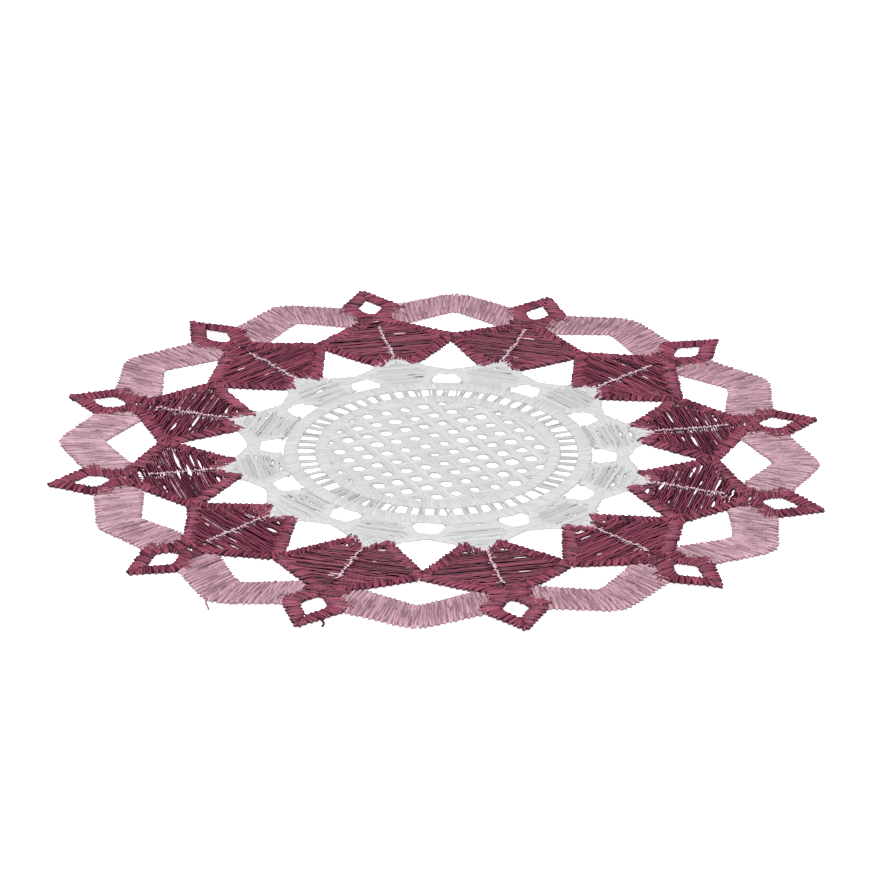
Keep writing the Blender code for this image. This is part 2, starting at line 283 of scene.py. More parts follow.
def satin(edge_a, edge_b, directions, draw, top, reach=(0.0, 0.0), rag=(0.06, 0.06),
          gather=(0.5, 0.6), lean=0.3, fat=0.56, relief=0.05, parts=1, shading=0.0,
          drift=0.12, crown=0.5, notch=1.0, tones=(0.0, 1.0)):
    """Stitches side by side from one edge to the other, wrapped right round the cloth.

    A stitch is a flattened bead: its path is the straight line between its ends plus a
    small bow, and its half height is a rounded box, one minus the place along it to a
    power, to the same power's root. Its half width falls with that to 0.78 at the ends.
    A group's ends are drawn together. Where one edge is much the shorter, the outer two
    of each group stop short of it. A stitch can be laid in two or three parts that
    overlap, as where it passes through the cloth.
    """
    pitch = threads().pitch
    edge_a, edge_b, share_a, share_b, station = stations(edge_a, edge_b)
    groups = max(1, round(station[-1] / (GROUP * pitch)))
    count = groups * GROUP
    shape = (len(directions), count)
    member = np.arange(count) % GROUP
    heart = (np.arange(groups) + 0.5) / groups * station[-1]
    heart = heart + drift * draw.normal(size=(len(directions), groups))
    heart = np.repeat(heart, GROUP, axis=1)
    own = (member - 1) * pitch
    tilt = lean * draw.normal(size=(len(directions), 1)) + 0.8 * drift * draw.normal(size=shape)
    start = along(edge_a, station, heart + own * gather[0] + tilt)
    finish = along(edge_b, station, heart + own * gather[1] - tilt)
    middle = (along(edge_a, station, heart + own) + along(edge_b, station, heart + own)) / 2
    belly = middle - (start + finish) / 2
    segment = np.clip(np.searchsorted(station, heart) - 1, 0, len(share_a) - 1)
    outer = (member != 1) * STOP_SHORT
    span = finish - start
    start = start + span * (outer * np.clip(SHORT_EDGE - share_a[segment], 0, 1))[..., None]
    finish = finish - span * (outer * np.clip(SHORT_EDGE - share_b[segment], 0, 1))[..., None]
    unit = span / np.maximum(np.linalg.norm(span, axis=-1, keepdims=True), 1e-6)
    side = pairs(-unit[..., 1], unit[..., 0])

    over = []
    for both in zip(reach, rag):
        far, spread = (np.interp(heart, station, np.broadcast_to(part, station.shape))
                       for part in both)
        over.append(far + notch * NOTCH[member] + spread * draw.normal(size=shape))
    start = start - unit * over[0][..., None]
    finish = finish + unit * over[1][..., None]
    bow = STITCH_BOW * draw.normal(size=shape)
    cuts = np.sort((np.arange(1, parts) / parts)[:, None, None]
                   + CUT_SPREAD * draw.normal(size=(parts - 1,) + shape), axis=0)
    cuts = cuts.clip(*CUT_LIMITS)
    cuts = np.concatenate([np.zeros((1,) + shape), cuts, np.ones((1,) + shape)])
    rings = WHOLE_STEPS if parts == 1 else PART_STEPS
    rounding = (1 - np.abs(BOX_END * (2 * rings - 1)) ** BOX_POWER) ** (1 / BOX_POWER)
    steps = len(rings)
    found = []
    for first, last, number in zip(cuts[:-1], cuts[1:], range(parts)):
        first = first - (LAP if number else 0.0)
        last = last + (LAP if number < parts - 1 else 0.0)
        part = (first[..., None] + (last - first)[..., None] * rings)[..., None]
        crest = 4 * part * (1 - part)
        flat = (start[:, :, None] * (1 - part) + finish[:, :, None] * part
                + (belly * 0.8 + side * bow[..., None])[:, :, None] * crest)
        if parts > 1:
            flat = flat + side[:, :, None] * (PART_SWAY * draw.normal(size=shape + (steps, 1)))
        full = (top - UNDERSIDE) / 2 * (1 + relief * draw.normal(size=shape))
        high = full[..., None] * rounding
        wide = pitch * fat * (1 + 0.10 * draw.normal(size=shape))[..., None]
        wide = wide * (0.78 + 0.22 * rounding)
        level = np.broadcast_to((UNDERSIDE + full)[..., None, None], flat.shape[:3] + (1,))
        # painted highlight: a stitch is made lighter toward both ends, where it rolls over the
        # cloth's edge
        tone = draw.uniform(*tones, shape)[..., None] * (1 - shading)
        tone = tone + shading * np.abs(2 * part[..., 0] - 1) ** 1.6
        paths = np.concatenate([to_flat(flat, directions), level], axis=-1)
        found.append(bundle(paths.reshape(-1, steps, 3), wide.reshape(-1, steps),
                            high.reshape(-1, steps), tone.reshape(-1, steps), crown=crown))
    return found


def both_sides(edge_a, edge_b, *arguments, **settings):
    """A right half and its left mirror image, each with its own unevenness."""
    return (satin(edge_a, edge_b, *arguments, **settings)
            + satin(mirrored(edge_a), mirrored(edge_b), *arguments, **settings))


def gaps_between(draw, counts, field, rows, layers, last, lengths, sizes):
    """Places where neighbouring threads part: repeat, across, out, half length, gap.

    With one layer a place is halfway between two of its threads, and with two layers it is
    halfway between a thread of each.
    """
    spacing = threads().field_pitch / layers
    first = rows[0] + threads().field_pitch * (layers + 1) / 4
    repeat = np.repeat(np.arange(len(counts)), counts)
    out = first + spacing * np.round(draw.uniform(0, (last - first) / spacing, len(repeat)))
    half = np.maximum(half_width_at(field, out) - GAP_MARGIN, 0.5)
    across = half * draw.uniform(-1, 1, len(repeat))
    return np.stack([repeat, across, out, draw.uniform(*lengths, len(repeat)),
                     draw.uniform(*sizes, len(repeat))], axis=-1)


def parted(flat, gaps):
    """Threads pushed apart beside each gap.

    The push is the gap's size, times one minus the squared place along it, to a power
    below one, and fades as an exponential of the distance from it.
    """
    for repeat, across, out, half_length, size in gaps:
        leaf = flat[int(repeat)]
        away = leaf[..., 1] - out
        hump = np.clip(1 - ((leaf[..., 0] - across) / half_length) ** 2, 0, 1) ** GAP_POWER
        leaf[..., 1] += np.sign(away) * size * hump * np.exp(-np.abs(away) / GAP_FADE)
    return flat


def laid(starts, ends, directions, draw, level, half_width, half_height, steps=6,
         sag=0.08, sway=0.06, wander=0.0, gaps=(), rag=0.0, crown=0.5, tones=(0.0, 1.0)):
    """Long threads laid from start to end, a little bowed and let down in the middle.

    A path is the straight line between its ends, less a parabola of sag, plus a parabola
    and two slopes of random sideways sway. Its end rings are half as wide as the others.
    """
    starts, ends = np.array(starts, float), np.array(ends, float)
    shape = (len(directions), len(starts))
    span = ends - starts
    unit = span / np.linalg.norm(span, axis=-1, keepdims=True)
    side = pairs(-unit[:, 1], unit[:, 0])[:, None]
    part = np.linspace(0.0, 1.0, steps)[:, None]
    crest = 4 * part * (1 - part)
    start = starts + unit * (rag * draw.normal(size=shape))[..., None]
    finish = ends + unit * (rag * draw.normal(size=shape))[..., None]
    flat = start[:, :, None] * (1 - part) + finish[:, :, None] * part
    drift = [(size * draw.normal(size=shape))[..., None] * by[:, 0] for size, by in
             ((sway, crest), (sway * 0.7, part), (sway * 0.7, 1 - part))]
    drift = sum(drift) + wander * draw.normal(size=shape + (steps,))
    flat = parted(flat + side * drift[..., None], gaps)
    height = level + 0.05 * draw.normal(size=shape)[..., None] - sag * crest[:, 0]
    height = height + 0.4 * wander * draw.normal(size=shape + (steps,))
    height = np.maximum(height, half_height + UNDERSIDE)
    paths = np.concatenate([to_flat(flat, directions), height[..., None]], axis=-1)
    half_width = np.reshape(half_width, (-1, 1, 1))
    wide = half_width * (1 + 0.12 * draw.normal(size=shape))[..., None] * np.ones(steps)
    wide = wide * np.where((part[:, 0] > 0) & (part[:, 0] < 1), 1.0, 0.5)
    return bundle(paths.reshape(-1, steps, 3), wide.reshape(-1, steps), half_height,
                  draw.uniform(*tones, shape).reshape(-1, 1), crown=crown)


def padding(edge_a, edge_b, directions, top, inset=0.4, step=1.2):
    """The flat core under a satin border, as a four-sided strip between its edges.

    It is narrower than the border by the inset at each side, and its half height is 0.45
    of the border's height less 0.2 mm. Both are multiplied by the square root of two,
    because a ring's half sizes reach to its corners.
    """
    edge_a, edge_b, *_, station = stations(edge_a, edge_b)
    at = np.linspace(0.0, station[-1], max(3, round(station[-1] / step)))
    line = along((edge_a + edge_b) / 2, station, at)
    gap = along(edge_b - edge_a, station, at)
    run = np.gradient(line, axis=0)
    run /= np.linalg.norm(run, axis=1, keepdims=True)
    half = np.abs(gap[:, 0] * run[:, 1] - gap[:, 1] * run[:, 0]) / 2 - inset
    half = np.maximum(half, 0.2)
    flat = to_flat(np.broadcast_to(line, (len(directions),) + line.shape), directions)
    level = np.full(flat.shape[:2] + (1,), top / 2)
    return bundle(np.concatenate([flat, level], axis=-1), half * math.sqrt(2),
                  (0.45 * top - 0.2) * math.sqrt(2), 0.0, sides=4)


# Edges and fields of the parts, on a tip's axis -----------------------------------------
LEAF_OUTER = [(2.2, 73.05), (6.9, 69.3), (16.51, 61.63), (15.37, 57.38), (5.0, 46.4), (3.6, 45.4)]
LEAF_INNER = [(0.5, 70.9), (5.15, 67.1), (14.1, 60.2), (13.9, 59.8), (3.2, 48.4), (2.2, 48.3)]

PICOT_OUTER = [(0.15, 89.9), (2.92, 86.17), (6.14, 81.65), (7.1, 80.1), (8.2, 77.9),
               (4.9, 74.9), (2.4, 73.6), (0.0, 73.3)]
PICOT_INNER = [(0.0, 88.2), (0.05, 84.1), (2.8, 79.9), (3.0, 79.4), (2.5, 78.3),
               (1.3, 76.3), (0.5, 75.5), (0.0, 75.3)]

# The band's on a peak's axis.
BAND_OUTER = [(-0.5, 86.6), (2.6, 85.9), (14.31, 79.71), (16.2, 77.6)]
BAND_INNER = [(-0.3, 76.0), (1.6, 75.1), (11.27, 68.72), (14.9, 70.6)]

PETAL_OUTER = [(5.2, 34.7), (8.75, 39.65), (10.9, 39.35), (11.5, 41.3), (7.3, 44.4),
               (5.0, 46.4), (0.2, 50.6)]
PETAL_INNER = [(3.4, 36.3), (6.2, 40.6), (6.5, 41.1), (6.6, 41.4), (5.6, 42.7),
               (3.2, 45.8), (0.0, 48.0)]

LEAF_FIELD = [(50.2, 0.4), (50.6, 5.1), (60.1, 14.1), (71.0, 0.4)]     # out, half width
PETAL_FIELD = [(35.0, 5.6), (37.2, 4.5), (41.2, 6.6), (45.6, 3.4), (47.9, 0.3)]

RINGS = ((24.9, 28.4), (31.4, 35.4))           # inner and outer radius of each
RING_MOVES = ((0.0, -0.45), (0.3, -0.35))      # what is added to them at the two sides
RING_LEAN_DEG = 1.5        # turn of a ring's stitches between its edges
RING_POINTS = 121

# From the first tip clockwise: half widths of the leaves' filling threads, how many pale
# strands stray into each, and how many gaps show the table through each leaf and petal.
LEAF_THREADS = 0.24 * np.array((1, 0.97, 0.84, 0.70, 0.72, 1.05, 1, 0.92, 0.76, 0.62, 0.70, 1.05))
PALE_STRANDS = (1, 1, 3, 1, 1, 2, 2, 3, 4, 1, 1, 2)
LEAF_SLITS = (2, 3, 5, 6, 13, 4, 3, 3, 7, 14, 5, 3)
PETAL_SLITS = (2, 3, 5, 8, 9, 6, 3, 3, 6, 9, 6, 3)

LEAF_ROWS = (50.3, 71.0)       # first filling thread of a leaf, and the end of its filling
PETAL_ROWS = (35.2, 47.8)
FILLING_LAP = 0.9              # how far the filling reaches under its borders
LEAF_SLANT = (0.3, 0.1)        # how far its threads' two ends are moved along the leaf
LEAF_CREASES = 60              # places in a leaf where the threads of one layer part
PETAL_CREASES = 8
GAP_POWER = 0.6                # the lower, the blunter a gap's ends
GAP_FADE = 0.8                 # distance over which threads give way to a gap
GAP_MARGIN = 0.6               # how far gaps stay from a field's edge
# Layers, the farthest place out, half lengths and sizes of the gaps.
LEAF_CREASE_SIZES = (1, 69.5, (0.8, 2.4), (0.08, 0.26))
LEAF_SLIT_SIZES = (2, 68.5, (1.6, 4.6), (0.20, 0.40))
PETAL_CREASE_SIZES = (1, 46.5, (0.5, 1.6), (0.10, 0.24))
PETAL_SLIT_SIZES = (2, 46.5, (0.6, 1.5), (0.28, 0.50))


def ring_edges(around):
    """Inner and outer radius of both rings, which leave the longest rungs at the sides."""
    side = 0.5 + 0.5 * np.cos(2 * np.radians(around - FIRST_TIP_DEG))
    return [(inner + inner_move * side, outer + outer_move * side)
            for (inner, outer), (inner_move, outer_move) in zip(RINGS, RING_MOVES)]


def half_width_at(field, out):
    """A field's half width this far out, on straight lines between its points."""
    table = np.array(field)
    return np.interp(out, table[:, 0], table[:, 1])


def petal_tip(across):
    """How far out a petal's tip ends, this far across."""
    return np.interp(np.abs(across), (0.0, 5.0), (50.6, 46.4))


# Materials ------------------------------------------------------------------------------
def linear(code):
    """An sRGB hex colour as the linear values that a shader takes."""
    srgb = np.array([int(code[place:place + 2], 16) for place in (1, 3, 5)]) / 255
    value = np.where(srgb <= 0.04045, srgb / 12.92, ((srgb + 0.055) / 1.055) ** 2.4)
    return tuple(float(part) for part in value)


def add_node(tree, kind, values=None, links=None, **settings):
    """Add a node, with its settings, its unlinked values and the sockets that feed it."""
    node = tree.nodes.new(kind)
    for name, value in settings.items():
        setattr(node, name, value)
    for socket, value in (values or {}).items():
        node.inputs[socket].default_value = value
    for socket, source in (links or {}).items():
        tree.links.new(source, node.inputs[socket])
    return node


def embroidery_thread(name, shade, light, roughness, sheen, gloss=0.3):
    """Twisted polyester filament, wound loosely enough to show its two plies.

    Its colour runs from a painted shade between the threads to a painted light along their tops.
    To the eye: each stitch a little lighter or darker than the next, a soft satin gleam along
    the top of each thread from its gloss and that painted light, and fine slanting plies seen only
    close to.
    """
    if name in bpy.data.materials:
        return bpy.data.materials[name]
    material = bpy.data.materials.new(name)
    material.use_nodes = True
    tree = material.node_tree
    tree.nodes.clear()
    # the tone brings each stitch's random tone together with the painted shade between threads and
    # painted highlights on crests and stitch ends
    tone = add_node(tree, "ShaderNodeAttribute", attribute_name="tone")
    place = add_node(tree, "ShaderNodeTexCoord")
    drift = add_node(tree, "ShaderNodeTexNoise", {"Scale": PATCHES, "Detail": 3.0},
                     {"Vector": place.outputs["Object"]})
    mixed = add_node(tree, "ShaderNodeMix", {0: 0.25},
                     {2: tone.outputs["Fac"], 3: drift.outputs["Fac"]}, data_type="FLOAT")
    colour = add_node(tree, "ShaderNodeMix", {6: (*shade, 1.0), 7: (*light, 1.0)},
                      {0: mixed.outputs[0]}, data_type="RGBA")
    thread = add_node(tree, "ShaderNodeUVMap", uv_map="thread")
    ply = add_node(tree, "ShaderNodeSeparateXYZ", links={0: thread.outputs["UV"]})
    turns = add_node(tree, "ShaderNodeMath", {1: PLY_TURNS}, {0: ply.outputs["X"]},
                     operation="MULTIPLY")
    plies = add_node(tree, "ShaderNodeMath", {1: PLIES}, {0: ply.outputs["Y"]},
                     operation="MULTIPLY")
    slant = add_node(tree, "ShaderNodeMath", links={0: turns.outputs[0], 1: plies.outputs[0]},
                     operation="ADD")
    wave = add_node(tree, "ShaderNodeMath", {1: 2 * math.pi}, {0: slant.outputs[0]},
                    operation="MULTIPLY")
    ridge = add_node(tree, "ShaderNodeMath", links={0: wave.outputs[0]}, operation="SINE")
    bump = add_node(tree, "ShaderNodeBump", {"Strength": 0.25, "Distance": PLY_DEPTH * MM},
                    {"Height": ridge.outputs[0]})
    shader = add_node(tree, "ShaderNodeBsdfPrincipled",
                      {"Roughness": roughness, "IOR": 1.55, "Specular IOR Level": gloss,
                       "Sheen Weight": sheen, "Sheen Roughness": 0.4},
                      {"Base Color": colour.outputs[2], "Normal": bump.outputs["Normal"]})
    add_node(tree, "ShaderNodeOutputMaterial", links={"Surface": shader.outputs["BSDF"]})
    return material


def plum_thread():
    """Plum: near black painted shade between the threads, and a dull wine red along them."""
    return embroidery_thread("plum_polyester_thread", linear("#1E0810"), threads().plum,
                             0.45, 0.0, 0.2)


def pink_thread():
    """Dusty pink: the glossiest, with fine grey-brown lines of painted shade between its stitches.
    """
    return embroidery_thread("dusty_pink_polyester_thread", linear("#5A3B45"), threads().pink,
                             0.48, 0.03, 0.4)


def pale_thread():
    """Pale pink: light specks on the plum, with little painted shade of their own."""
    return embroidery_thread("pale_pink_polyester_thread", linear("#B58D99"), threads().pale,
                             0.5, 0.03)


def white_thread():
    """White: matt and soft, so its stitches show by faint grey lines of painted shade alone."""
    return embroidery_thread("white_polyester_thread", linear("#979797"), threads().white,
                             0.6, 0.0)


def core_thread(name, colour):
    """Matt under-thread that shows only as lines between the stitches, in a colour that the caller
    gives as painted shade for plum and pink and as painted light for white.
    """
    return embroidery_thread(name, linear(colour), linear(colour), 0.8, 0.0, 0.1)


# Settings -------------------------------------------------------------------------------
class DoilyThreadSettings(bpy.types.PropertyGroup):
    """Sizes and colours of the thread work"""
    pitch: FloatProperty(name="Satin pitch", description="Distance between satin stitches, in mm",
                         default=0.47, min=0.3, max=1.0)
    field_pitch: FloatProperty(name="Filling pitch",
                               description="Distance between the long threads, in mm",
                               default=0.56, min=0.3, max=1.5)
    seed: IntProperty(name="Seed", description="First number for the unevenness", default=7)
    plum: FloatVectorProperty(name="Plum", description="Colour of the leaves and picots",
                              subtype="COLOR", default=linear("#91455C"), min=0, max=1)
    pink: FloatVectorProperty(name="Dusty pink", description="Colour of the arched band",
                              subtype="COLOR", default=linear("#C09BA6"), min=0, max=1)
    pale: FloatVectorProperty(name="Pale pink", description="Colour of the midribs",
                              subtype="COLOR", default=linear("#DECCD2"), min=0, max=1)
    white: FloatVectorProperty(name="White", description="Colour of the petals, rings and net",
                               subtype="COLOR", default=linear("#B9B9B9"), min=0, max=1)


class DoilyStageSettings(bpy.types.PropertyGroup):
    """Camera and light"""
    distance: FloatProperty(name="Distance", description="Camera to doily", default=1.01198,
                            unit="LENGTH")
    elevation: FloatProperty(name="Elevation", description="Camera above the table",
                             default=math.radians(26.063), subtype="ANGLE")
    roll: FloatProperty(name="Roll", description="Camera tilt", default=math.radians(0.519),
                        subtype="ANGLE")
    lens: FloatProperty(name="Lens", description="Focal length in mm", default=182.04)
    floor_colour: FloatVectorProperty(name="Floor", description="Colour of the table",
                                      subtype="COLOR", default=linear("#F2F2F2"), min=0, max=1)


def threads():
    """The thread settings, at the user's values."""
    return bpy.context.scene.doily_threads


def chance(number):
    """A seeded random source of its own for each piece."""
    return np.random.default_rng(threads().seed * 100 + number)


def leaf_slits():
    """Gaps through both layers of the leaves' threads."""
    return gaps_between(chance(20), LEAF_SLITS, LEAF_FIELD, LEAF_ROWS, *LEAF_SLIT_SIZES)


def petal_slits():
    """The same for the petals."""
    return gaps_between(chance(21), PETAL_SLITS, PETAL_FIELD, PETAL_ROWS, *PETAL_SLIT_SIZES)


def filling(field, rows, shift):
    """How far out each filling thread lies, and its half length. A shift is in pitches."""
    pitch = threads().field_pitch
    out = np.arange(rows[0] + shift * pitch, rows[1], pitch)
    return out, half_width_at(field, out) + FILLING_LAP


def leaf_lines(side, shift=0.0, lap=0.0):
    """Starts and ends of the threads in one half of a leaf, which slant to its midrib."""
    out, half = filling(LEAF_FIELD, LEAF_ROWS, shift)
    border, midrib = (side * slant for slant in LEAF_SLANT)
    return pairs(side * half, out + border), pairs(0 * out + side * lap, out - midrib)


def petal_lines(shift=0.0):
    """The same right across a petal."""
    out, half = filling(PETAL_FIELD, PETAL_ROWS, shift)
    return pairs(-half, out), pairs(half, out)


# Operators ------------------------------------------------------------------------------
class DoilyPieceOperator:
    """Shared by the operators that each build a piece"""
    bl_options = {"REGISTER", "UNDO"}


class OBJECT_OT_doily_leaves(DoilyPieceOperator, bpy.types.Operator):
    """Satin borders of the twelve leaves and the necks that join them to the picots"""
    bl_idname = "object.doily_leaves"
    bl_label = "Leaf borders"

    def execute(self, context):
        draw = chance(1)
        strands = both_sides(LEAF_OUTER, LEAF_INNER, TIPS, draw, PLUM_TOP, reach=(0.05, 0.1),
                             rag=(0.10, 0.45), gather=(0.35, 0.95), lean=0.55, notch=1.8)
        strands += self.necks(draw) + self.heels(draw)
        piece = thread_piece("leaf_borders", strands, [plum_thread()])
        return {"FINISHED"}

    def necks(self, draw):
        """Short arched stitches that fill a leaf between its filling and its picot."""
        out = np.arange(70.4, 75.4, 0.42)
        joint = 1.6 * draw.uniform(-1, 1, len(out))
        edge = 4.3 + 0.8 * draw.normal(size=len(out))
        return [laid(pairs(side * edge, out + 0.25 * side - 0.35), pairs(joint, out), TIPS, draw,
                     0.80, 0.26, 0.26, sag=-0.06, sway=0.2, rag=0.5, wander=0.06)
                for side in (-1, 1)]

    def heels(self, draw):
        """Plum stitches that run into the white tip of each petal, ragged at their ends."""
        across = np.arange(0.7, 5.4, 0.40)
        tip = petal_tip(across)
        return [laid(pairs(side * across, tip - 0.35), pairs(side * (across + 0.35), tip + 2.6),
                     TIPS, draw, 0.76, 0.26, 0.24, sag=0.0, sway=0.1, rag=0.45, wander=0.05)
                for side in (-1, 1)]


class OBJECT_OT_doily_leaf_fields(DoilyPieceOperator, bpy.types.Operator):
    """Long filling threads of the leaves, which part here and there"""
    bl_idname = "object.doily_leaf_fields"
    bl_label = "Leaf filling"

    def execute(self, context):
        draw = chance(2)
        creases = gaps_between(draw, [LEAF_CREASES] * REPEATS, LEAF_FIELD, LEAF_ROWS,
                               *LEAF_CREASE_SIZES)
        gaps = np.concatenate([creases, leaf_slits()])
        strands = [laid(*leaf_lines(side, lap=0.1), TIPS, draw, 0.66, LEAF_THREADS, 0.17,
                        steps=9, gaps=gaps, wander=0.08, tones=(0.1, 0.9))
                   for side in (-1, 1)]
        piece = thread_piece("leaf_filling", strands, [plum_thread()])
        return {"FINISHED"}


CHAIN_PITCH = 0.88         # millimetres
MIDRIB_SWAY = 0.15


class OBJECT_OT_doily_midribs(DoilyPieceOperator, bpy.types.Operator):
    """Pale chain down the middle of each leaf, with a few strands that stray from it"""
    bl_idname = "object.doily_midribs"
    bl_label = "Midribs"

    def execute(self, context):
        draw = chance(3)
        strands = []
        for tip, pale in zip(TIPS, PALE_STRANDS):
            here = np.array([tip])
            first, last = 50.5 + 0.5 * draw.random(), 67.0 + 1.6 * draw.random()
            out = np.arange(first, last, CHAIN_PITCH)
            number = len(out)
            across = MIDRIB_SWAY * np.sin(out / 3.1 + 6.28 * draw.random())
            heart = pairs(across, out) + 0.13 * draw.normal(size=(number, 2))
            turn = draw.uniform(-1.0, 1.0, number)
            reach = pairs(np.cos(turn), np.sin(turn)) * draw.uniform(0.26, 0.50, (number, 1))
            strands.append(laid(heart - reach, heart + reach, here, draw, 0.96, 0.22, 0.14,
                                sag=-0.06, sway=0.03, tones=(0.2, 0.8)))
            strands.append(laid(heart[:-1], heart[1:], here, draw, 0.92, 0.11, 0.09, steps=4,
                                sag=0.05, sway=0.02, tones=(0.0, 0.5)))
            tail = draw.random(number) < 0.5
            sign = draw.choice((-1, 1), number)
            end = heart + pairs(sign * draw.uniform(0.5, 1.5, number),
                                0.2 * draw.normal(size=number))
            strands.append(laid(heart[tail], end[tail], here, draw, 0.88, 0.12, 0.09,
                                tones=(-0.4, 0.4)))
            strands.append(self.fringe(here, draw))
            strands.append(self.strays(here, pale, draw))
        piece = thread_piece("leaf_midribs", strands, [pale_thread()])
        return {"FINISHED"}

    def strays(self, here, number, draw):
        """Short pale strands that come up between the filling threads."""
        out = draw.uniform(53.0, 66.0, number)
        across = draw.uniform(-0.7, 0.7, number) * half_width_at(LEAF_FIELD, out)
        half = draw.uniform(0.5, 1.7, number)
        return laid(pairs(across - half, out), pairs(across + half, out), here, draw,
                    0.80, 0.15, 0.12, steps=5, sag=-0.04, tones=(0.8, 1.2))

    def fringe(self, here, draw):
        """Pale ends that show where a petal's tip meets the plum."""
        across = np.arange(-5.0, 5.3, 0.62)
        number = len(across)
        across = across + 0.12 * draw.normal(size=number)
        tip = petal_tip(across)
        starts = pairs(across, tip - draw.uniform(0.4, 1.4, number))
        ends = pairs(across * 1.05, tip + draw.uniform(0.1, 0.8, number))
        return laid(starts, ends, here, draw, 0.72, 0.2, 0.2, steps=4, sag=0.0)


class OBJECT_OT_doily_picots(DoilyPieceOperator, bpy.types.Operator):
    """Pointed picots with their satin arms round a small hole"""
    bl_idname = "object.doily_picots"
    bl_label = "Picots"

    def execute(self, context):
        draw = chance(4)
        strands = both_sides(PICOT_OUTER, PICOT_INNER, TIPS, draw, PLUM_TOP, reach=(0.05, 0.0),
                             rag=((0.1, 0.1, 0.1, 0.2, 0.5, 0.5, 0.4, 0.4), 0.08),
                             gather=(0.4, 0.7), lean=0.35, notch=1.7)
        piece = thread_piece("picots", strands, [plum_thread()])
        return {"FINISHED"}


class OBJECT_OT_doily_band(DoilyPieceOperator, bpy.types.Operator):
    """Dusty pink band that arches from picot to picot"""
    bl_idname = "object.doily_band"
    bl_label = "Pink band"

    def execute(self, context):
        draw = chance(5)
        # the band's stitches get a painted highlight toward both ends
        strands = both_sides(BAND_OUTER, BAND_INNER, PEAKS, draw, PINK_TOP, reach=(0.0, 0.0),
                             rag=(0.05, 0.06), gather=(0.42, 0.42), lean=0.3, relief=0.08,
                             parts=3, shading=0.3, fat=0.62, drift=0.07, notch=2.2)
        piece = thread_piece("pink_band", strands, [pink_thread()])
        return {"FINISHED"}


class OBJECT_OT_doily_petals(DoilyPieceOperator, bpy.types.Operator):
    """White petals, with satin sides and long filling threads"""
    bl_idname = "object.doily_petals"
    bl_label = "Petals"

    def execute(self, context):
        draw = chance(6)
        strands = both_sides(PETAL_OUTER, PETAL_INNER, TIPS, draw, WHITE_TOP,
                             reach=((-0.35, -0.3, 0.1, 0.2, 0.0, 0.0, 0.0), 0.2),
                             rag=((0.05, 0.05, 0.05, 0.05, 0.1, 0.3, 0.4), 0.5), fat=0.85,
                             gather=(0.8, 1.0), relief=0.02, crown=0.0, notch=0.5,
                             tones=(0.6, 1.0))
        creases = gaps_between(draw, [PETAL_CREASES] * REPEATS, PETAL_FIELD, PETAL_ROWS,
                               *PETAL_CREASE_SIZES)
        strands.append(laid(*petal_lines(), TIPS, draw, 0.44, 0.41, 0.16, steps=14, wander=0.02,
                            crown=0.0, sag=0.04, sway=0.04, tones=(0.0, 0.9),
                            gaps=np.concatenate([creases, petal_slits()])))
        piece = thread_piece("petals", strands, [white_thread()])
        return {"FINISHED"}


RUNGS = 59
RUNG_PHASE = 0.4           # degrees
RUNG_ENDS = (27.2, 32.6)   # radii, under the two rings
RUNG_THREADS = np.array((-0.88, 0.0, 0.88))    # degrees from a rung's middle
RUNG_DRIFT = 0.45          # degrees, spread of the rungs' own moves
RUNG_SPREAD = 0.25         # and of the places of their threads, as a part of them
RUNG_LEAN = 0.5            # degrees, spread of each thread's lean
CLOSED_GAPS = np.array((36, 37, 38, 39))       # gaps between rungs that are drawn shut
CLOSING_THREADS = np.array((-0.2, 0.0, 0.2))   # places in such a gap, as parts of the pitch


class OBJECT_OT_doily_rings(DoilyPieceOperator, bpy.types.Operator):
    """Two white satin rings and the ladder of rungs between them"""
    bl_idname = "object.doily_rings"
    bl_label = "Rings and ladder"

    def execute(self, context):
        draw = chance(7)
        around = np.linspace(0.0, 360.0, RING_POINTS)
        strands = []
        for inner, outer in ring_edges(around):
            strands += satin(polar(outer, around), polar(inner, around + RING_LEAN_DEG), WHOLE,
                             draw, WHITE_TOP, reach=(-0.05, -0.05), fat=0.85, gather=(0.8, 0.8),
                             relief=0.02, lean=0.0, crown=0.0, notch=0.5, tones=(0.5, 1.0))
        pitch = 360.0 / RUNGS
        middle = (np.arange(RUNGS) + 0.5) * pitch + RUNG_DRIFT * draw.normal(size=RUNGS)
        spread = 1 + RUNG_SPREAD * draw.normal(size=RUNGS)
        rungs = middle[:, None] + RUNG_THREADS * spread[:, None]
        closing = (CLOSED_GAPS[:, None] + CLOSING_THREADS) * pitch
        angle = np.concatenate([rungs.ravel(), closing.ravel()]) + RUNG_PHASE
        lean = RUNG_LEAN * draw.normal(size=len(angle))
        strands.append(laid(polar(RUNG_ENDS[0], angle - lean), polar(RUNG_ENDS[1], angle + lean),
                            WHOLE, draw, 0.38, 0.31, 0.26, sway=0.10, sag=0.05,
                            tones=(0.0, 0.8)))
        piece = thread_piece("rings_and_ladder", strands, [white_thread()])
        return {"FINISHED"}


NET_PITCH = (4.65, 4.77)
NET_TURN_DEG = (22.4, 118.5)
NET_ORIGIN = (-0.66, -2.12)
NET_EDGE = 25.7
HOLE_REACH = 1.7           # millimetres from a hole's middle over which its unevenness fades
NET_THREADS = (-0.24, -0.08, 0.08, 0.24)   # places across a bar, as parts of the pitch
NET_BARS = np.arange(-6.5, 7.0)            # bars lie halfway between rows of holes
NET_CELLS = np.arange(-7.0, 7.01, 1 / 6)   # points along a bar, six to a hole
NET_SPREAD = 0.28          # how much farther apart a bar's threads lie at the crossings
NET_DRIFT = 0.014          # spread of their unevenness, as a part of the pitch
NET_WEAVE = 0.02           # how far they pass over and under, in millimetres
NET_LEVEL = 0.41           # height of the middle of a bar
MIDDLE_HOLE = 10           # its row and column in the tables of the holes' unevenness
HOLE_SHIFT = 0.22          # spread of the moves of the holes, in millimetres
HOLE_SWELL = 0.16          # and of their swelling, as a part of their size
SMALL_SWELL = -0.6
